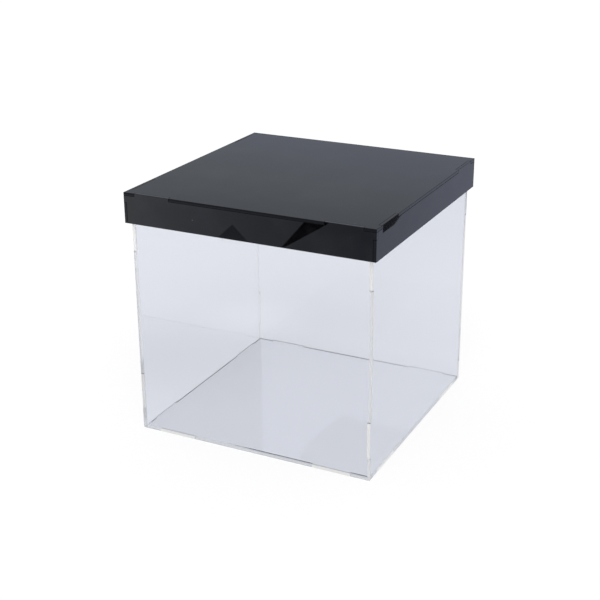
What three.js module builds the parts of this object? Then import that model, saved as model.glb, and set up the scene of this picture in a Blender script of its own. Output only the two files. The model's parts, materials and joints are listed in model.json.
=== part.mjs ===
// Display cube: a clear acrylic case of five panels under a black lift-off lid of five more.
// Every panel is laser-cut from the same sheet and joined to its neighbours by interlocking fingers.
// Millimetres, +Z up. The origin is the middle of the case's footprint on the table.
import * as THREE from 'three';

// Driving dimensions of the case
const sheet = 3; // thickness of every panel
const caseSize = 250; // outer length of the case along X and along Y
const caseHeight = 247; // table to the rim of the walls

// Driving dimensions of the lid
const lidClearance = 1.75; // between a wall and the skirt that hangs outside it
const lidHeight = 30.5; // underside of the skirts to the top of the lid

// Width of the line of cement in every joint, which the cutting leaves room for
const cementLine = 0.1;

// Fingers along the bottom of the case: a corner land, then a tab of the base, from each end
const baseLand = 20;
const baseTab = 40;

// Fingers up the corners of the case: a land, then a tab of the side wall, from the floor and from the rim
const cornerLand = 19;
const cornerTab = 38;

// Fingers round the top of the lid: a corner land, then a tab of the skirt, from each end
const lidLand = 12;
const lidTab = 38;

// The front and back skirts run past the side ones down to this depth below the top of the lid
const lidShoulderDepth = 10;

// Sizes worked out from the driving dimensions
const caseHalf = caseSize / 2;
const wallInner = caseHalf - sheet;
const lidHalf = caseHalf + lidClearance + sheet;
const skirtInner = lidHalf - sheet;
const skirtBottom = sheet - lidHeight; // from the underside of the lid's top
const skirtShoulder = sheet - lidShoulderDepth;

const clearAcrylic = { color: 0xe3e7f0, roughness: 0.05, metalness: 0, transparent: true, opacity: 0.3 };
const blackAcrylic = { color: 0x0b0b0d, roughness: 0.08, metalness: 0 };

// Places where one panel's fingers give way to the other's, on a joint that runs from `start` to `end`
function fingerLines(start, end, land, tab) {
  return [start + land, start + land + tab, end - land - tab, end - land];
}

// One side of a panel, which in turn comes out to `proud` and steps back to `shy` for its neighbour's fingers.
// A proud stretch stops half a cement line short of each finger line, and a shy one runs half a line past it.
function fingerSide(lines, startsProud, proud, shy) {
  const levels = [];
  const breaks = [];
  for (let i = 0; i <= lines.length; i += 1) {
    const isProud = (i % 2 === 0) === startsProud;
    levels.push(isProud ? proud : shy);
    if (i < lines.length) breaks.push(lines[i] + (isProud ? -cementLine : cementLine) / 2);
  }
  return { levels, breaks };
}

// A side with no fingers
function plainSide(level) {
  return { levels: [level], breaks: [] };
}

// The same side, read from its far end
function reversed(side) {
  return { levels: [...side.levels].reverse(), breaks: [...side.breaks].reverse() };
}

// The outline of a panel, walked once round: along the bottom, up the right, back along the top, down the left.
// A side's levels say how far out its edge lies, and its breaks say where along it the edge steps.
function panelOutline({ bottom, right, top, left }) {
  const walk = [
    { side: bottom, place: (along, level) => [along, level] },
    { side: right, place: (along, level) => [level, along] },
    { side: reversed(top), place: (along, level) => [along, level] },
    { side: reversed(left), place: (along, level) => [level, along] },
  ];
  const shape = new THREE.Shape();
  walk.forEach(({ side, place }, turn) => {
    const before = walk[(turn + walk.length - 1) % walk.length].side;
    const corner = place(before.levels.at(-1), side.levels[0]);
    if (turn === 0) shape.moveTo(...corner);
    else shape.lineTo(...corner);
    side.breaks.forEach((along, i) => {
      shape.lineTo(...place(along, side.levels[i]));
      shape.lineTo(...place(along, side.levels[i + 1]));
    });
  });
  return shape;
}

// A panel cut from the sheet, lying flat
function cutPanel(name, finish, sides) {
  const geometry = new THREE.ExtrudeGeometry(panelOutline(sides), { depth: sheet, bevelEnabled: false });
  const panel = new THREE.Mesh(geometry, new THREE.MeshStandardMaterial(finish));
  panel.name = name;
  return panel;
}

// Stands a panel up across Y, with its bottom along X and its back face at `back`
function standAcrossY(panel, back) {
  panel.rotation.set(Math.PI / 2, 0, 0);
  panel.position.y = back;
  return panel;
}

// Stands a panel up across X, with its bottom along Y and its left face at `left`
function standAcrossX(panel, left) {
  panel.rotation.set(Math.PI / 2, Math.PI / 2, 0);
  panel.position.x = left;
  return panel;
}

// The base lies between the walls and reaches the outside only with its tabs
function basePanel() {
  const lines = fingerLines(-caseHalf, caseHalf, baseLand, baseTab);
  const low = fingerSide(lines, false, -caseHalf, cementLine - wallInner);
  const high = fingerSide(lines, false, caseHalf, wallInner - cementLine);
  return cutPanel('base_panel', clearAcrylic, { bottom: low, right: high, top: high, left: low });
}

// A wall of the case, which stands on the table between the base's tabs.
// The front and back start at the corner, and the sides start with a step back behind them.
function wallPanel(name, startsProud) {
  const acrossLines = fingerLines(-caseHalf, caseHalf, baseLand, baseTab);
  const upLines = fingerLines(sheet, caseHeight, cornerLand, cornerTab);
  return cutPanel(name, clearAcrylic, {
    bottom: fingerSide(acrossLines, true, 0, sheet + cementLine),
    right: fingerSide(upLines, startsProud, caseHalf, wallInner - cementLine),
    top: plainSide(caseHeight),
    left: fingerSide(upLines, startsProud, -caseHalf, cementLine - wallInner),
  });
}

// The top of the lid reaches the outside all round, except where the skirts' tabs come up through it
function lidTopPanel() {
  const lines = fingerLines(-lidHalf, lidHalf, lidLand, lidTab);
  const low = fingerSide(lines, true, -lidHalf, cementLine - skirtInner);
  const high = fingerSide(lines, true, lidHalf, skirtInner - cementLine);
  return cutPanel('lid_top_panel', blackAcrylic, { bottom: low, right: high, top: high, left: low });
}

// A skirt of the lid, with two tabs that come up through the top.
// The side skirts start at the corner below the shoulder, and the front and back ones take it above.
function skirtPanel(name, startsProud) {
  const topLines = fingerLines(-lidHalf, lidHalf, lidLand, lidTab);
  return cutPanel(name, blackAcrylic, {
    bottom: plainSide(skirtBottom),
    right: fingerSide([skirtShoulder], startsProud, lidHalf, skirtInner - cementLine),
    top: fingerSide(topLines, false, sheet, -cementLine),
    left: fingerSide([skirtShoulder], startsProud, -lidHalf, cementLine - skirtInner),
  });
}

const clearCase = new THREE.Group();
clearCase.add(
  basePanel(),
  standAcrossY(wallPanel('front_panel', true), -wallInner),
  standAcrossY(wallPanel('back_panel', true), caseHalf),
  standAcrossX(wallPanel('left_panel', false), -caseHalf),
  standAcrossX(wallPanel('right_panel', false), wallInner),
);

const blackLid = new THREE.Group();
blackLid.add(
  lidTopPanel(),
  standAcrossY(skirtPanel('lid_front_skirt', false), -skirtInner),
  standAcrossY(skirtPanel('lid_back_skirt', false), lidHalf),
  standAcrossX(skirtPanel('lid_left_skirt', true), -lidHalf),
  standAcrossX(skirtPanel('lid_right_skirt', true), skirtInner),
);
blackLid.position.z = caseHeight; // the top of the lid lies on the rim of the walls

const displayCube = new THREE.Group();
displayCube.add(clearCase, blackLid);

export default displayCube;
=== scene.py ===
# %% [markdown]
# # A clear display case with a black lift-off lid
# The case is five panels of clear acrylic and the lid is five panels of black. All ten are
# laser-cut from the same 3 mm sheet and lock together with square fingers.
# The exact panels come from the CAD model, so this lesson gives them their looks: soft cut
# edges, two acrylics with two finishes each, and a white studio for them to mirror.

# %% Load the panels
import json
import math
import bpy
from mathutils import Matrix, Vector


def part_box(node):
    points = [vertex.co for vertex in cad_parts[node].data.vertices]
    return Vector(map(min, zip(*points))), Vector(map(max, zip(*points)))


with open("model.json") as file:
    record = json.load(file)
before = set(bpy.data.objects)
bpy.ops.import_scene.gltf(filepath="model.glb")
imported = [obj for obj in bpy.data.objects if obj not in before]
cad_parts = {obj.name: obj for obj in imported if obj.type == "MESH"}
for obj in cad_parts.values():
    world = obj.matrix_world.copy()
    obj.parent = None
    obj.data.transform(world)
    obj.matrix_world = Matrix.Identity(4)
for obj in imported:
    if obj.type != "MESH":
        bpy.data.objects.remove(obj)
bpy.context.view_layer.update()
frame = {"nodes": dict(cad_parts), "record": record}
panels = frame["nodes"]
mm = 0.001
bodies = frame["record"]["behaviour"]["bodies"]
case_panels = [panels[name] for name in bodies["case"]]
lid_panels = [panels[name] for name in bodies["lid"]]
print("panels:", len(case_panels), "clear and", len(lid_panels), "black")

# %% [markdown]
# ## The camera
# The photograph was taken with a longish lens from the front right, a little above the lid.
# The camera could be placed by eye, but then no edge would land quite right. Its place was found
# by fitting a pinhole camera to the corners of the case and lid, so the numbers are measured.
# A camera looks along its own -Z, so it is tipped up first and then turned about the vertical.

# %% Place the camera
camera_place = Vector((0.5059, -1.0312, 0.5740))
camera_turn, camera_drop, camera_roll = 25.929, 21.400, -0.123
camera_lens = 71.98
camera_shift = (-0.0193, -0.0117)

camera = bpy.data.objects.new("camera", bpy.data.cameras.new("camera"))
bpy.context.scene.collection.objects.link(camera)
aim = Matrix.Rotation(math.radians(camera_turn), 4, "Z")
tip = Matrix.Rotation(math.radians(90 - camera_drop), 4, "X")
roll = Matrix.Rotation(math.radians(camera_roll), 4, "Z")
camera.matrix_world = Matrix.Translation(camera_place) @ aim @ tip @ roll
camera.data.lens = camera_lens
camera.data.shift_x, camera.data.shift_y = camera_shift
bpy.context.scene.camera = camera
print("camera to the middle of the case:", round(camera_place.length, 3), "m")

# %% [markdown]
# ## Soft cut edges
# A laser leaves a crisp edge, but never a perfectly sharp one: the melt rounds it. On the clear
# sheet the rounding is too small to see. On the black one it is a burnt rim about a quarter of a
# millimetre wide, and it draws the thin dark lines along the joints of the lid.
# The rounding could be modelled by hand, but a bevel modifier leaves the CAD mesh as it is.
# The panels arrive as loose triangles, so they are welded and their flat faces joined up first.

# %% Round the cut edges
clear_melt = 0.06 * mm
black_melt = 0.25 * mm
melt_steps = 2
weld_reach = 0.001 * mm
flat_within = math.radians(1)
sheet_face, cut_edge, burnt_rim = 0, 1, 2  # material slots

def soften(panel, melt_radius, melt_slot):
    weld = panel.modifiers.new("weld", "WELD")
    weld.merge_threshold = weld_reach
    flat = panel.modifiers.new("flat faces", "DECIMATE")
    flat.decimate_type = "DISSOLVE"
    flat.angle_limit = flat_within
    flat.delimit = {"MATERIAL"}
    melt = panel.modifiers.new("melted edge", "BEVEL")
    melt.width = melt_radius
    melt.segments = melt_steps
    melt.limit_method = "ANGLE"
    melt.material = melt_slot
    even = panel.modifiers.new("even shading", "WEIGHTED_NORMAL")
    even.weight = 100

for panel in case_panels:
    soften(panel, clear_melt, cut_edge)
for panel in lid_panels:
    soften(panel, black_melt, burnt_rim)
print("edges rounded by", clear_melt / mm, "and", black_melt / mm, "mm")

# %% [markdown]
# ## Which faces are cut
# A panel has two kinds of surface. Its two large faces are the sheet's own mirror finish, and
# the narrow ones round it were cut by the laser, with fine ribs across the thickness. Faces could
# be picked by hand, but their normals tell them apart: along the panel's thin direction or not.
# The ribs run along that thin direction, so there is one edge finish for each of X, Y and Z.

# %% Sort faces from cut edges
squarely = 0.5  # the least part of a face's normal that points along the axis it faces

def thin_axis(panel):
    low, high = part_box(panel.name)
    size = high - low
    return min(range(3), key=lambda axis: size[axis])

def give_finishes(panel, face_finish, edge_finishes, rim_finish=None):
    axis = thin_axis(panel)
    panel.data.materials.clear()
    panel.data.materials.append(face_finish)
    panel.data.materials.append(edge_finishes[axis])
    if rim_finish:
        panel.data.materials.append(rim_finish)
    for polygon in panel.data.polygons:
        lies_flat = abs(polygon.normal[axis]) > squarely
        polygon.material_index = sheet_face if lies_flat else cut_edge

print("thin direction of the base:", "XYZ"[thin_axis(panels["base_panel"])])

# %% [markdown]
# ## A small kit of shader nodes
# Every finish below is a chain of shader nodes. Building each node by hand takes four or five
# lines, so a few helpers make one, mix two values, or test where on the case a point lies.
# A test gives 1 for yes and 0 for no, so a product of tests means that all of them hold.

# %% Helpers that make and join nodes
def start_material(name):
    material = bpy.data.materials.new(name)
    material.use_nodes = True
    material.node_tree.nodes.clear()
    return material, material.node_tree

def node(tree, kind, **settings):
    made = tree.nodes.new(kind)
    for name, value in settings.items():
        if hasattr(made, name):
            setattr(made, name, value)
        else:
            made.inputs[name.replace("_", " ")].default_value = value
    return made

def plug(tree, value, socket):
    """Joins a socket to another, or sets it to a plain value."""
    if hasattr(value, "is_linked"):
        tree.links.new(value, socket)
    else:
        socket.default_value = value

def show(tree, shader):
    out = node(tree, "ShaderNodeOutputMaterial")
    tree.links.new(shader, out.inputs["Surface"])

def object_place(tree):
    return node(tree, "ShaderNodeTexCoord").outputs["Object"]

# %% Helpers for numbers and colours
def remap(tree, source, from_low, from_high, to_low, to_high):
    span = node(tree, "ShaderNodeMapRange", From_Min=from_low, From_Max=from_high)
    span.inputs["To Min"].default_value = to_low
    span.inputs["To Max"].default_value = to_high
    tree.links.new(source, span.inputs["Value"])
    return span.outputs["Result"]

def combine(tree, operation, *sources):
    result = sources[0]
    for source in sources[1:]:
        step = node(tree, "ShaderNodeMath", operation=operation)
        tree.links.new(result, step.inputs[0])
        plug(tree, source, step.inputs[1])
        result = step.outputs[0]
    return result

def mix_number(tree, share, first, second):
    mixed = node(tree, "ShaderNodeMix")
    tree.links.new(share, mixed.inputs[0])
    plug(tree, first, mixed.inputs[2])
    plug(tree, second, mixed.inputs[3])
    return mixed.outputs[0]

def mix_colour(tree, share, first, second):
    mixed = node(tree, "ShaderNodeMix", data_type="RGBA")
    tree.links.new(share, mixed.inputs[0])
    plug(tree, first, mixed.inputs[6])
    plug(tree, second, mixed.inputs[7])
    return mixed.outputs[2]

def mix_shader(tree, share, first, second):
    mixed = node(tree, "ShaderNodeMixShader")
    for socket, source in zip(mixed.inputs, (share, first, second)):
        tree.links.new(source, socket)
    return mixed.outputs[0]

# %% Helpers that test a place
def above(tree, source, limit):
    return combine(tree, "GREATER_THAN", source, limit)

def below(tree, source, limit):
    return combine(tree, "LESS_THAN", source, limit)

def all_of(tree, *tests):
    return combine(tree, "MULTIPLY", *tests)

def any_of(tree, *tests):
    return combine(tree, "MAXIMUM", *tests)

def split(tree, vector):
    parts = node(tree, "ShaderNodeSeparateXYZ")
    tree.links.new(vector, parts.inputs[0])
    return parts.outputs

def sizes_of(tree, vector):
    """The three parts of a vector without their signs."""
    size = node(tree, "ShaderNodeVectorMath", operation="ABSOLUTE")
    tree.links.new(vector, size.inputs[0])
    return split(tree, size.outputs[0])

def facing(tree):
    """How squarely the panel's true surface faces X, Y and Z, each from 0 to 1."""
    return sizes_of(tree, node(tree, "ShaderNodeNewGeometry").outputs["True Normal"])

# %% [markdown]
# ## Marks on a polished sheet
# No acrylic stays perfect. Handling leaves a faint greasy film in patches, cleaning leaves
# hairline scratches, and static draws a few specks of dust. Painted maps would need image files,
# so each mark is a mask from 0 to 1 made from noise in the panel's own space, and it stays on
# the panel when the lid is lifted.

# %% Make the three marks
patches_per_metre = 22.0
specks_per_metre = 85.0
drifts_per_metre = 9.0
film_from, film_to = 0.45, 0.72
speck_inside, speck_outside = 0.028, 0.04
drift_from, drift_to = 0.52, 0.60
scratch_from, scratch_to = 0.72, 0.78
scratch_stretch = (6.0, 420.0, 420.0)
scratch_tilt, clear_scratch_turn, black_scratch_turn = 0.3, 0.6, 1.1

def greasy_film(tree, place):
    film = node(tree, "ShaderNodeTexNoise", Scale=patches_per_metre, Detail=5.0)
    tree.links.new(place, film.inputs["Vector"])
    return remap(tree, film.outputs["Fac"], film_from, film_to, 0.0, 1.0)

def dust_specks(tree, place):
    grains = node(tree, "ShaderNodeTexVoronoi", Scale=specks_per_metre)
    where = node(tree, "ShaderNodeTexNoise", Scale=drifts_per_metre, Detail=2.0)
    tree.links.new(place, grains.inputs["Vector"])
    tree.links.new(place, where.inputs["Vector"])
    grain = remap(tree, grains.outputs["Distance"], speck_inside, speck_outside, 1.0, 0.0)
    drift = remap(tree, where.outputs["Fac"], drift_from, drift_to, 0.0, 1.0)
    return all_of(tree, grain, drift)

def hairlines(tree, place, turn):
    turns = (scratch_tilt, turn, turn)
    stretch = node(tree, "ShaderNodeMapping", Rotation=turns, Scale=scratch_stretch)
    lines = node(tree, "ShaderNodeTexNoise", Scale=1.0, Detail=1.0)
    tree.links.new(place, stretch.inputs["Vector"])
    tree.links.new(stretch.outputs["Vector"], lines.inputs["Vector"])
    return remap(tree, lines.outputs["Fac"], scratch_from, scratch_to, 0.0, 1.0)

print("film patches about", round(1000 / patches_per_metre), "mm across")

# %% [markdown]
# ## Clear acrylic
# Acrylic bends light a little less than window glass, and each face mirrors about 4% of what
# meets it head on. A Principled shader with full transmission does both. Lamp light could be
# traced through the panels too, but that is slow and noisy. So the rays that carry it get a
# plain see-through shader of the same tint, and the floor inside the case is lit softly.

# %% Pour the clear acrylic
acrylic_ior = 1.49
# painted shade: this tint is much darker and bluer than clear acrylic, and stands in for a dim
# blue-grey backdrop seen through the panels
shaded_clear_tint = (0.864, 0.876, 0.912, 1)

def show_clear(tree, shader, tint):
    """Shows the shader to the eye, and lets lamp light straight through."""
    tint_at_each_face = [math.sqrt(channel) for channel in tint[:3]] + [1]
    window = node(tree, "ShaderNodeBsdfTransparent", Color=tint_at_each_face)
    ray = node(tree, "ShaderNodeLightPath")
    lamp_ray = any_of(tree, ray.outputs["Is Shadow Ray"], ray.outputs["Is Diffuse Ray"])
    show(tree, mix_shader(tree, lamp_ray, shader, window.outputs[0]))

print("clear acrylic bends light by", acrylic_ior)

# %% [markdown]
# ## Solvent cement
# Solvent wets the two faces of a joint and melts them into one, and light crosses a good joint
# as if there were nothing there. The joints of this case are not all good. The upright corner
# at the back left and the tabs along the left wall are well wetted, so their touching faces
# turn see-through here. All other joints stay dry, and show as pale frosted lines.
# Fusing the panels into one would do the same, but they have to stay separate pieces.

# %% Cement the good joints
case_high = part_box("base_panel")[1]
case_half = case_high.x
sheet_thickness = case_high.z
joint_lead, joint_skin, cement_reach = 0.25 * mm, 0.01 * mm, 0.3 * mm
joint_start = case_half - sheet_thickness - joint_lead
joint_end = case_half - joint_skin
edge_zone = 10 * mm
near_left = near_front = edge_zone - case_half
near_right = near_back = case_half - edge_zone

def in_corner(tree, place):
    x, y = sizes_of(tree, place)[:2]
    return above(tree, combine(tree, "MINIMUM", x, y), joint_start)

def at_back_left(tree, place):
    x, y = split(tree, place)[:2]
    return all_of(tree, above(tree, y, 0.0), below(tree, x, 0.0), in_corner(tree, place))

def well_wetted(tree, place):
    x, y, z = sizes_of(tree, place)
    from_middle = combine(tree, "MAXIMUM", x, y)
    upward = facing(tree)[2]
    corner = all_of(tree, at_back_left(tree, place), below(tree, upward, squarely))
    on_left = below(tree, split(tree, place)[0], near_left)
    on_tab = all_of(tree, above(tree, from_middle, joint_start), above(tree, upward, squarely), on_left,
                    above(tree, z, sheet_thickness - cement_reach),
                    below(tree, z, sheet_thickness + cement_reach))
    return all_of(tree, any_of(tree, corner, on_tab), below(tree, from_middle, joint_end))

def cement(tree, shader, place):
    melted = node(tree, "ShaderNodeBsdfTransparent")
    return mix_shader(tree, well_wetted(tree, place), shader, melted.outputs[0])

print("base:", round(2 * case_half / mm), "mm wide and", round(sheet_thickness / mm, 1), "mm thick")

# %% [markdown]
# ## Painted shade in the seams, and dark ticks
# Three dark marks show in the finished case. The upper rim of the base's cut edges carries
# painted shade, deepest on the left, and makes the thin dark seam round the floor. A strip of
# painted shade a millimetre wide lies on top of the base along the front wall. And the level
# sides of the corner fingers are darkened, which gives the ticks up the corners.
# Thin dark pieces could stand in for them, but a painted mark adds no shape.

# %% Darken the seams and fingers
seam_shade_and_ticks = (0.05, 0.05, 0.055, 1)
shade_strip_width = 1.0 * mm
left_depth, back_depth, front_depth, right_depth = 2.8 * mm, 2.2 * mm, 0.4 * mm, 0.5 * mm
deep_share, right_share, finger_share = 0.95, 0.35, 0.95
shade_starts, shade_is_full = -30 * mm, 0.0
front_rim_shares, front_strip_shares = (0.1, 1.0), (0.05, 0.9)
shade_patches_per_metre = 16.0
shade_from, shade_to, thin_shade_share = 0.35, 0.60, 0.7
strip_skin = 0.05 * mm
land_width, tab_width = 20 * mm, 40 * mm
tab_end = case_half - land_width
tab_start = tab_end - tab_width
fingers_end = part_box("left_panel")[1].z - edge_zone

def rim_painted_shade(tree, place):
    """Painted shade on the upper rim of the base's cut edges."""
    x, y, z = split(tree, place)
    front_share = remap(tree, x, shade_starts, shade_is_full, *front_rim_shares)
    depth, share = right_depth, right_share
    for side, side_depth, side_share in (
        (below(tree, x, near_left), left_depth, deep_share),
        (above(tree, y, near_back), back_depth, deep_share),
        (below(tree, y, near_front), front_depth, front_share),
    ):
        depth = mix_number(tree, side, depth, side_depth)
        share = mix_number(tree, side, share, side_share)
    on_rim = above(tree, combine(tree, "ADD", z, depth), sheet_thickness)
    seam_shade = node(tree, "ShaderNodeTexNoise", Scale=shade_patches_per_metre, Detail=1.0)
    tree.links.new(place, seam_shade.inputs["Vector"])
    patchy = remap(tree, seam_shade.outputs["Fac"], shade_from, shade_to, thin_shade_share, 1.0)
    return all_of(tree, on_rim, patchy, share)

def front_painted_shade(tree, place):
    """Painted shade on top of the base along its front edge, where the wall stands between the tabs."""
    x, y, z = split(tree, place)
    from_middle = sizes_of(tree, place)[0]
    on_top = all_of(tree, above(tree, z, sheet_thickness - strip_skin),
                    below(tree, z, sheet_thickness + strip_skin))
    near_wall = below(tree, y, shade_strip_width - case_half + sheet_thickness)
    off_tabs = any_of(tree, below(tree, from_middle, tab_start), above(tree, from_middle, tab_end))
    to_the_right = remap(tree, x, shade_starts, shade_is_full, *front_strip_shares)
    return all_of(tree, on_top, near_wall, off_tabs, to_the_right)

def finger_ticks(tree, place):
    """Dark ticks on the level sides of the fingers up the corners."""
    z = split(tree, place)[2]
    up_the_corner = all_of(tree, above(tree, z, edge_zone), below(tree, z, fingers_end))
    level = above(tree, facing(tree)[2], squarely)
    on_side = all_of(tree, level, in_corner(tree, place), up_the_corner)
    return remap(tree, on_side, 0.0, 1.0, 0.0, finger_share)

print("scorch on the left rim:", round(left_depth / mm, 1), "mm deep")

# %% [markdown]
# ## The polished faces
# The sheet leaves its mould between two sheets of glass, so its faces are as smooth as glass.
# A roughness of zero would look too new. The film and the hairlines blur the mirror a little,
# and a speck or the strip of painted shade stops the light that would pass.

# %% Finish the clear faces
film_haze, scratch_haze = 0.012, 0.08
through_a_speck = 0.55

def clear_sheet(name):
    material, tree = start_material(name)
    place = object_place(tree)
    film = greasy_film(tree, place)
    specks = dust_specks(tree, place)
    lines = hairlines(tree, place, clear_scratch_turn)
    seam_shade = front_painted_shade(tree, place)
    glass = node(tree, "ShaderNodeBsdfPrincipled", IOR=acrylic_ior)
    # painted shade: the strip along the front wall takes the dark colour and lets no light through
    tree.links.new(mix_colour(tree, seam_shade, shaded_clear_tint, seam_shade_and_ticks), glass.inputs["Base Color"])
    haze = remap(tree, film, 0.0, 1.0, 0.0, film_haze)
    scuff = remap(tree, lines, 0.0, 1.0, 0.0, scratch_haze)
    tree.links.new(combine(tree, "ADD", haze, scuff), glass.inputs["Roughness"])
    past_specks = remap(tree, specks, 0.0, 1.0, 1.0, through_a_speck)
    past_seam_shade = remap(tree, seam_shade, 0.0, 1.0, 1.0, 0.0)
    tree.links.new(all_of(tree, past_specks, past_seam_shade), glass.inputs["Transmission Weight"])
    show_clear(tree, cement(tree, glass.outputs[0], place), shaded_clear_tint)
    return material

clear_face = clear_sheet("clear_acrylic_face")
print("made", clear_face.name)

# %% [markdown]
# ## Ribs of the laser
# The beam leaves upright ribs a fraction of a millimetre apart and a slower ripple where the
# melt ran. Ribs this fine would need millions of faces, so they are relief: noise that is
# flattened along the panel's thin direction changes along the cut and not across it, and a bump
# node turns it into slopes. The beam is also a little narrower where it leaves the sheet, so
# the cuts of the black panels lean by two degrees.

# %% Helper for the ribs
ribs_per_metre = 2600.0
ripples_per_metre = 180.0
clear_rib_height = 0.001 * mm
black_rib_height, black_ripple_height = 0.004 * mm, 0.03 * mm
cut_lean = math.radians(2)

def laser_ribs(tree, axis, lean_angle, rib_height, ripple_height):
    along_cut = [0.0 if i == axis else 1.0 for i in range(3)]
    across_cut = [math.tan(lean_angle) if i == axis else 0.0 for i in range(3)]
    flatten = node(tree, "ShaderNodeVectorMath", operation="MULTIPLY")
    flatten.inputs[1].default_value = along_cut
    tree.links.new(object_place(tree), flatten.inputs[0])
    lean = node(tree, "ShaderNodeVectorMath", operation="ADD")
    lean.inputs[1].default_value = across_cut
    tree.links.new(node(tree, "ShaderNodeNewGeometry").outputs["Normal"], lean.inputs[0])
    unit = node(tree, "ShaderNodeVectorMath", operation="NORMALIZE")
    tree.links.new(lean.outputs[0], unit.inputs[0])
    normal = unit.outputs[0]
    for per_metre, height in ((ripples_per_metre, ripple_height), (ribs_per_metre, rib_height)):
        noise = node(tree, "ShaderNodeTexNoise", Scale=per_metre, Detail=1.0)
        bump = node(tree, "ShaderNodeBump", Strength=1.0, Distance=height)
        tree.links.new(flatten.outputs[0], noise.inputs["Vector"])
        tree.links.new(noise.outputs["Fac"], bump.inputs["Height"])
        tree.links.new(normal, bump.inputs["Normal"])
        normal = bump.outputs["Normal"]
    return normal

print("ribs", round(1000 / ribs_per_metre, 2), "mm apart")

# %% [markdown]
# ## Cut edges of the clear panels
# A laser-cut clear edge is frosted: part of the light goes through and the rest scatters, so
# the edge shows as a pale line. One frost all round would be simpler, but the edges differ.
# The base scatters most and the cemented corner at the back left is nearly clear. The edges on
# the right and those inside the case get a whiter frost, which is painted light, and the right ones are
# the whitest.

# %% Cut the clear edges
outer_frost = (0.90, 0.90, 0.885, 1)
painted_light_frost = (0.98, 0.98, 0.96, 1)
clear_end = (0.88, 0.89, 0.88, 1)
edge_clearness, base_clearness, right_clearness, cemented_clearness = 0.5, 0.15, 0.1, 0.85
frosted, polished, darkened_roughness = 0.2, 0.08, 0.5  # roughness
outer_skin = 1 * mm

def clear_cut(name, axis):
    material, tree = start_material(name)
    place = object_place(tree)
    x, y = split(tree, place)[:2]
    size_x, size_y = sizes_of(tree, place)[:2]
    inside = below(tree, combine(tree, "MAXIMUM", size_x, size_y), case_half - outer_skin)
    on_right = all_of(tree, above(tree, x, near_right), above(tree, y, near_front))
    # painted light: edges inside the case and on the right take the whiter frost
    frost = mix_colour(tree, any_of(tree, inside, on_right), outer_frost, painted_light_frost)
    if axis == 2:
        darkened = all_of(tree, rim_painted_shade(tree, place), inside)
        clearness = remap(tree, any_of(tree, darkened, on_right), 0.0, 1.0, base_clearness, 0.0)
        roughness = remap(tree, darkened, 0.0, 1.0, frosted, darkened_roughness)
    else:
        darkened = finger_ticks(tree, place)
        good_joint = at_back_left(tree, place)
        clearness = mix_number(tree, good_joint, edge_clearness, cemented_clearness)
        clearness = mix_number(tree, on_right, clearness, right_clearness)
        roughness = remap(tree, good_joint, 0.0, 1.0, frosted, polished)
        frost = mix_colour(tree, good_joint, frost, clear_end)
    glass = node(tree, "ShaderNodeBsdfPrincipled", IOR=acrylic_ior)
    # painted shade on the base's upper rim, and dark ticks on the finger sides
    tree.links.new(mix_colour(tree, darkened, frost, seam_shade_and_ticks), glass.inputs["Base Color"])
    tree.links.new(clearness, glass.inputs["Transmission Weight"])
    tree.links.new(roughness, glass.inputs["Roughness"])
    tree.links.new(laser_ribs(tree, axis, 0.0, clear_rib_height, 0.0), glass.inputs["Normal"])
    show_clear(tree, cement(tree, glass.outputs[0], place), outer_frost)
    return material

clear_edges = [clear_cut("clear_acrylic_cut_" + "xyz"[axis], axis) for axis in range(3)]
for panel in case_panels:
    give_finishes(panel, clear_face, clear_edges)
print("clear acrylic on", len(case_panels), "panels")

# %% [markdown]
# ## Black acrylic
# The same sheet with black pigment: nothing passes through, and nearly all that shows is what
# its polished face mirrors. A plain black would do from afar. The film of handling shows as a
# slightly greyer patch, and a speck of dust as a pale dot.

# %% Mix the black acrylic
pigment = (0.0022, 0.0022, 0.0027, 1)
filmed_pigment = (0.010, 0.010, 0.011, 1)
dust_colour = (0.16, 0.16, 0.17, 1)
clean_haze, filmed_haze, scuffed_haze = 0.015, 0.045, 0.15

def black_sheet(name):
    material, tree = start_material(name)
    place = object_place(tree)
    film = greasy_film(tree, place)
    specks = dust_specks(tree, place)
    lines = hairlines(tree, place, black_scratch_turn)
    gloss = node(tree, "ShaderNodeBsdfPrincipled", IOR=acrylic_ior)
    tone = mix_colour(tree, film, pigment, filmed_pigment)
    tree.links.new(mix_colour(tree, specks, tone, dust_colour), gloss.inputs["Base Color"])
    haze = remap(tree, film, 0.0, 1.0, clean_haze, filmed_haze)
    scuff = remap(tree, lines, 0.0, 1.0, 0.0, scuffed_haze)
    tree.links.new(combine(tree, "ADD", haze, scuff), gloss.inputs["Roughness"])
    show(tree, gloss.outputs[0])
    return material

black_face = black_sheet("black_acrylic_face")
print("made", black_face.name)

# %% [markdown]
# ## Cut edges and burnt rims of the black panels
# The cut itself stays glossy and ribbed. Its rim, where the beam entered, is sooty and mirrors
# next to nothing, so every joint of the lid is drawn by a thin black line. The bevel put that rim
# in a slot of its own, so it takes a matt finish without any mask.

# %% Cut the black edges
soot_grains_per_metre = 900.0
soot_from, soot_to = 0.3, 0.7
rim_gloss = 0.2
rim_roughnesses = (0.38, 0.55)
cut_roughness = 0.16

def black_cut(name, axis):
    material, tree = start_material(name)
    gloss = node(tree, "ShaderNodeBsdfPrincipled", IOR=acrylic_ior, Base_Color=pigment)
    gloss.inputs["Roughness"].default_value = cut_roughness
    ribs = laser_ribs(tree, axis, cut_lean, black_rib_height, black_ripple_height)
    tree.links.new(ribs, gloss.inputs["Normal"])
    show(tree, gloss.outputs[0])
    return material

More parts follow.
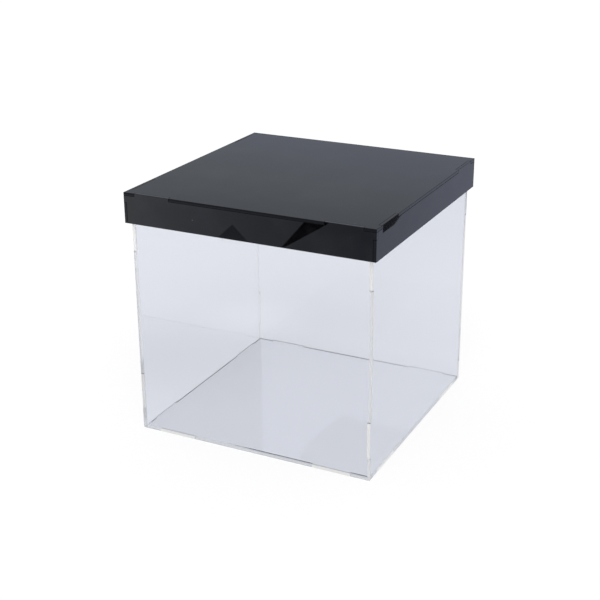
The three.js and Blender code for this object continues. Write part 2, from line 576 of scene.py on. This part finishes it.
def black_rim(name):
    material, tree = start_material(name)
    soot = node(tree, "ShaderNodeTexNoise", Scale=soot_grains_per_metre, Detail=3.0)
    tree.links.new(object_place(tree), soot.inputs["Vector"])
    matt = node(tree, "ShaderNodeBsdfPrincipled", IOR=acrylic_ior, Base_Color=pigment)
    matt.inputs["Specular IOR Level"].default_value = rim_gloss
    roughness = remap(tree, soot.outputs["Fac"], soot_from, soot_to, *rim_roughnesses)
    tree.links.new(roughness, matt.inputs["Roughness"])
    show(tree, matt.outputs[0])
    return material

black_edges = [black_cut("black_acrylic_cut_" + "xyz"[axis], axis) for axis in range(3)]
sooty_rim = black_rim("black_acrylic_rim")
for panel in lid_panels:
    give_finishes(panel, black_face, black_edges, sooty_rim)
print("black acrylic on", len(lid_panels), "panels")

# %% [markdown]
# ## The white sweep
# The case stands on white paper. More lamp light would make the paper white, but it would
# bleach the case too. So a share of the paper glows, for rays that come from the camera, from a
# mirror face or through a clear panel, and the rest is ordinary matt paper with a soft shadow.

# %% Helpers for things of the studio
def seen_directly(tree):
    ray = node(tree, "ShaderNodeLightPath")
    return any_of(tree, ray.outputs["Is Camera Ray"], ray.outputs["Is Glossy Ray"],
                  ray.outputs["Is Transmission Ray"])

def flat_shape(name, corners, material):
    mesh = bpy.data.meshes.new(name)
    mesh.from_pydata(corners, [], [tuple(range(len(corners)))])
    mesh.materials.append(material)
    shape = bpy.data.objects.new(name, mesh)
    bpy.context.scene.collection.objects.link(shape)
    return shape

def rectangle(across, up):
    """The corners of a rectangle, from where it starts and ends both ways."""
    return [(across[0], up[0]), (across[1], up[0]), (across[1], up[1]), (across[0], up[1])]

# %% [markdown]
# ## Painted shade and light on the paper behind the case
# Through the clear walls the white paper is not quite even: it is dimmer beside the left wall
# and at the foot of the back wall, and brighter behind the back left corner and inside the case.
# Lamps for such small changes would upset the rest, so this shade and light is painted into the
# glow, in soft round spots and a strip that only rays through the acrylic can see.

# %% Lay the white floor
floor_half = 8.0
floor_drop = 0.2 * mm
paper_white = (0.9, 0.9, 0.9, 1)
glow_share, glow_strength = 0.72, 1.08
# each spot's middle, radius and change of glow, painted shade below zero and painted light above:
# beside the left wall, behind the corner, inside
spots = [
    ((-235 * mm, 15 * mm, 0), 190 * mm, -0.13),
    ((-165 * mm, 180 * mm, 0), 95 * mm, 0.11),
    ((-10 * mm, 60 * mm, 0), 200 * mm, 0.06),
]
foot_shade, foot_reach, foot_fade = -0.06, 45 * mm, 35 * mm

def painted_light_spot(tree, place, centre, radius, change):
    away = node(tree, "ShaderNodeVectorMath", operation="DISTANCE")
    away.inputs[1].default_value = centre
    tree.links.new(place, away.inputs[0])
    fall = node(tree, "ShaderNodeMapRange", interpolation_type="SMOOTHSTEP", From_Max=radius)
    fall.inputs["To Min"].default_value = change
    fall.inputs["To Max"].default_value = 0.0
    tree.links.new(away.outputs["Value"], fall.inputs["Value"])
    return fall.outputs["Result"]

def shade_at_foot(tree, place):
    """Painted shade on the paper just behind the back wall."""
    y = split(tree, place)[1]
    from_middle = sizes_of(tree, place)[0]
    along_wall = remap(tree, from_middle, case_half, case_half + foot_fade, 1.0, 0.0)
    shade = remap(tree, y, case_half, case_half + foot_reach, foot_shade, 0.0)
    return all_of(tree, above(tree, y, case_half), along_wall, shade)

white, tree = start_material("white_sweep")
place = object_place(tree)
# painted shade and light on the paper, for rays through the acrylic only
tones = [painted_light_spot(tree, place, *spot) for spot in spots] + [shade_at_foot(tree, place)]
through_acrylic = node(tree, "ShaderNodeLightPath").outputs["Is Transmission Ray"]
painted_light_on_paper = all_of(tree, combine(tree, "ADD", *tones), through_acrylic)
paper = node(tree, "ShaderNodeBsdfDiffuse", Color=paper_white)
glow = node(tree, "ShaderNodeEmission")
tree.links.new(combine(tree, "ADD", painted_light_on_paper, glow_strength), glow.inputs["Strength"])
share = remap(tree, seen_directly(tree), 0.0, 1.0, 0.0, glow_share)
show(tree, mix_shader(tree, share, paper.outputs[0], glow.outputs[0]))
white.cycles.emission_sampling = "NONE"
floor_span = (-floor_half, floor_half)
flat_shape("floor", [(x, y, -floor_drop) for x, y in rectangle(floor_span, floor_span)], white)
print("floor:", 2 * floor_half, "m wide, with", len(spots), "soft spots")

# %% [markdown]
# ## The room above the sweep
# Polished black shows whatever stands behind it. In the photograph the lid is a cool grey that
# darkens towards the viewer, so the room above the paper is white at the horizon and turns to
# a dim blue-grey higher up. Walls and a ceiling could be built, but a colour ramp over height
# in the world does it, for mirrors and clear panels alone. All else gets an even white fill.

# %% Shade the room
room_by_height = [
    (0.00, (0.90, 0.92, 0.96, 1)),
    (0.06, (0.62, 0.66, 0.76, 1)),
    (0.24, (0.38, 0.41, 0.50, 1)),
    (0.28, (0.36, 0.39, 0.43, 1)),
    (0.33, (0.30, 0.32, 0.36, 1)),
    (0.40, (0.62, 0.64, 0.68, 1)),
    (0.50, (0.50, 0.52, 0.56, 1)),
    (1.00, (0.80, 0.82, 0.86, 1)),
]
room_slope = 0.22
behind_case = 0.44
fill_strength = 0.6
plain_white = (1, 1, 1, 1)

def fill_ramp(ramp, tones_along):
    steps = ramp.color_ramp.elements
    while len(steps) < len(tones_along):
        steps.new(0.5)  # anywhere, because the next loop puts it in its place
    for step, (along, colour) in zip(steps, tones_along):
        step.position = along
        step.color = colour

def background(tree, strength, colour):
    light = node(tree, "ShaderNodeBackground", Strength=strength)
    plug(tree, colour, light.inputs["Color"])
    return light.outputs[0]

world = bpy.data.worlds.new("studio")
world.use_nodes = True
tree = world.node_tree
tree.nodes.clear()
height = node(tree, "ShaderNodeVectorMath", operation="DOT_PRODUCT")
height.inputs[1].default_value = (-room_slope, 0, 1)
tree.links.new(node(tree, "ShaderNodeTexCoord").outputs["Generated"], height.inputs[0])
level = combine(tree, "SUBTRACT", height.outputs["Value"], room_slope * behind_case)
room_tones = node(tree, "ShaderNodeValToRGB")
fill_ramp(room_tones, room_by_height)
tree.links.new(level, room_tones.inputs["Fac"])
ray = node(tree, "ShaderNodeLightPath")
mirror_ray = any_of(tree, ray.outputs["Is Glossy Ray"], ray.outputs["Is Transmission Ray"])
fill = background(tree, fill_strength, plain_white)
room = background(tree, 1.0, room_tones.outputs["Color"])
backdrop = background(tree, 1.0, plain_white)
lit = mix_shader(tree, mirror_ray, fill, room)
out = node(tree, "ShaderNodeOutputWorld")
tree.links.new(mix_shader(tree, ray.outputs["Is Camera Ray"], lit, backdrop), out.inputs["Surface"])
bpy.context.scene.world = world
print("room:", len(room_by_height), "tones, and a fill of", fill_strength)

# %% [markdown]
# ## One soft lamp
# A large soft lamp high on the front right gives the case its faint shadow. An area light would
# do, but a sun lamp with a wide angle is as soft and lights everything evenly. Its round disc
# would show in the lid and in the clear panels, so mirrors and rays through acrylic don't see it.

# %% Hang the lamp
lamp_strength = 1.5
lamp_softness = 40
lamp_turn = (35, 20, 0)

lamp = bpy.data.objects.new("soft_key", bpy.data.lights.new("soft_key", "SUN"))
lamp.data.energy = lamp_strength
lamp.data.angle = math.radians(lamp_softness)
lamp.rotation_euler = [math.radians(turn) for turn in lamp_turn]
lamp.visible_glossy = False
lamp.visible_transmission = False
bpy.context.scene.collection.objects.link(lamp)
print("lamp of", lamp_strength, "and", lamp_softness, "degrees wide")

# %% [markdown]
# ## Cards for the lid to mirror
# Cards of grey round polished black give its sides something to show. One card stands in front
# of the case and one at the right, each with tones that change along it and fade to the paper's
# at its foot. The right one is the taller, because the raised lid mirrors more of it. A third
# lies on the paper and dims what the sides mirror of it. Lamps could make such tones too, but
# they would light the case as well. These glow, and mirrors alone see them.

# %% Helpers for cards
dim_grey = (0.21, 0.23, 0.27, 1)
ground_tone = (0.60, 0.63, 0.71, 1)

def hide_from(shape, *rays):
    for kind in rays:
        setattr(shape, "visible_" + kind, False)

def only_in_mirrors(shape):
    hide_from(shape, "camera", "diffuse", "transmission", "shadow")

def only_through_acrylic(shape):
    hide_from(shape, "camera", "diffuse", "glossy", "shadow")

def glow_only(material, tree, colour):
    """Shows a plain colour or a socket's, and lights nothing."""
    glow = node(tree, "ShaderNodeEmission")
    plug(tree, colour, glow.inputs["Color"])
    show(tree, glow.outputs[0])
    material.cycles.emission_sampling = "NONE"
    return material

def glowing(name, colour):
    return glow_only(*start_material(name), colour)

def card_material(name, axis, tones_along, fade_height, dim_from, dim_to):
    material, tree = start_material(name)
    place = split(tree, object_place(tree))
    low, high = tones_along[0][0], tones_along[-1][0]
    tones = node(tree, "ShaderNodeValToRGB")
    fill_ramp(tones, [((along - low) / (high - low), colour) for along, colour in tones_along])
    tree.links.new(remap(tree, place[axis], low, high, 0.0, 1.0), tones.inputs["Fac"])
    rise = remap(tree, place["Z"], 0.0, fade_height, 0.0, 1.0)
    faded = mix_colour(tree, rise, ground_tone, tones.outputs["Color"])
    dimmed = mix_colour(tree, remap(tree, place["Z"], dim_from, dim_to, 0.0, 1.0), faded, dim_grey)
    return glow_only(material, tree, dimmed)

# %% Stand the cards
front_card_y = -450 * mm
right_card_x = 250 * mm
front_card_height = 250 * mm
right_card_height = 350 * mm
front_card_span = (-900 * mm, 500 * mm)
right_card_span = (-500 * mm, 3000 * mm)
ground_half = 450 * mm
front_fade, front_dim_from, front_dim_to = 85 * mm, 137 * mm, 150 * mm
right_fade, right_dim_from, right_dim_to = 95 * mm, 350 * mm, 400 * mm
front_tones = [
    (-355 * mm, (0.90, 0.93, 1.00, 1)),
    (-242 * mm, (0.66, 0.69, 0.81, 1)),
    (-157 * mm, (0.48, 0.51, 0.58, 1)),
    (-20 * mm, (0.305, 0.325, 0.405, 1)),
]
right_tones = [(267 * mm, (0.43, 0.465, 0.585, 1)), (648 * mm, (0.475, 0.505, 0.625, 1))]
front_grey = card_material("front_card", "X", front_tones, front_fade, front_dim_from, front_dim_to)
right_grey = card_material("right_card", "Y", right_tones, right_fade, right_dim_from, right_dim_to)

front_card = [(x, front_card_y, z) for x, z in rectangle(front_card_span, (0, front_card_height))]
right_card = [(right_card_x, y, z) for y, z in rectangle(right_card_span, (0, right_card_height))]
ground_shape = rectangle((-ground_half, ground_half), (-ground_half, right_card_span[1]))
ground_card = [(x, y, -floor_drop / 2) for x, y in ground_shape]
only_in_mirrors(flat_shape("front_card", front_card, front_grey))
only_in_mirrors(flat_shape("right_card", right_card, right_grey))
only_in_mirrors(flat_shape("ground_card", ground_card, glowing("ground_card", ground_tone)))
print("three cards, the right one", round(right_card_height / mm), "mm tall")

# %% [markdown]
# ## Flags
# Two dark shapes cross the front of the lid and one its side: they are flags that stand before
# the cards. Their outlines could be moved about by trial. It is easier to draw each on the
# lid's face, where it shows, and send every corner on to the card as a mirror would.

# %% Stand the flags
flag_gap = 1 * mm
flag_black = (0.0, 0.0, 0.0, 1)
flag_grey = (0.22, 0.24, 0.28, 1)
side_flag_grey = (0.05, 0.055, 0.065, 1)
front_face_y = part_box("lid_front_skirt")[0].y
right_face_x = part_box("lid_right_skirt")[1].x

def mirrored_to(point, axis, card_place):
    """Where a line from the camera's place to a point of the skirt goes, once it is turned back."""
    line = (point - camera_place).normalized()
    line[axis] = -line[axis]
    return point + line * ((card_place - point[axis]) / line[axis])

def front_flag(name, outline, colour):
    face = [Vector((x * mm, front_face_y, z * mm)) for x, z in outline]
    corners = [mirrored_to(point, 1, front_card_y + flag_gap) for point in face]
    only_in_mirrors(flat_shape(name, corners, glowing(name, colour)))

def right_flag(name, outline, colour):
    face = [Vector((right_face_x, y * mm, z * mm)) for y, z in outline]
    corners = [mirrored_to(point, 0, right_card_x - flag_gap) for point in face]
    only_in_mirrors(flat_shape(name, corners, glowing(name, colour)))

leaning_shape = [(36, 217), (44, 221.5), (78, 245), (89, 253), (65, 253)]
low_shape = [(-12.6, 234), (-34, 213), (9.5, 213)]
side_shape = [(-116, 242.5), (-90, 242.5), (-75, 246.5), (-75, 256), (-116, 256)]
front_flag("front_flag", leaning_shape, flag_black)
front_flag("front_low_flag", low_shape, flag_grey)
right_flag("right_flag", side_shape, side_flag_grey)
print("three flags, two in front and one at the right")

# %% [markdown]
# ## Cards that the base mirrors
# The base is a mirror too: it shows what stands beyond the left and back walls, far up. Two
# dark boards there make its left part a little dimmer and lay a faint wedge across its front
# corner. The base is seen through the front wall, so only rays through acrylic see the boards.

# %% Hang the boards
side_board_x, side_tone = -400 * mm, (0.17, 0.17, 0.19, 1)
back_board_y, back_tone = 400 * mm, (0.24, 0.25, 0.28, 1)
side_outline = [(250, 230), (635, 230), (635, 600), (250, 600)]
back_outline = [(-136, 235), (-152, 250), (-168, 265), (-193, 293), (-208, 322),
                (-208, 345), (-10, 345), (-10, 240), (-99, 240), (-120, 240)]

side_board = [(side_board_x, y * mm, z * mm) for y, z in side_outline]
back_board = [(x * mm, back_board_y, z * mm) for x, z in back_outline]
only_through_acrylic(flat_shape("side_card", side_board, glowing("side_card", side_tone)))
only_through_acrylic(flat_shape("back_card", back_board, glowing("back_card", back_tone)))
print("two boards, at x", round(side_board_x / mm), "and y", round(back_board_y / mm), "mm")

# %% [markdown]
# ## Let light find its way out
# A ray that enters a cut edge runs down inside the sheet as in a light pipe and bounces dozens
# of times before it leaves at the far side. With Blender's usual limit of twelve bounces the
# edges go black. A paler edge colour would hide that from one side only, so the limits are
# raised until the edges glow as real acrylic ones do.

# %% Set the bounce limits
light_pipe_bounces = 128
cycles = bpy.context.scene.cycles
cycles.max_bounces = light_pipe_bounces
cycles.glossy_bounces = light_pipe_bounces
cycles.transmission_bounces = light_pipe_bounces
cycles.transparent_max_bounces = light_pipe_bounces
bpy.context.scene.view_settings.view_transform = "Standard"
print("bounces:", light_pipe_bounces)
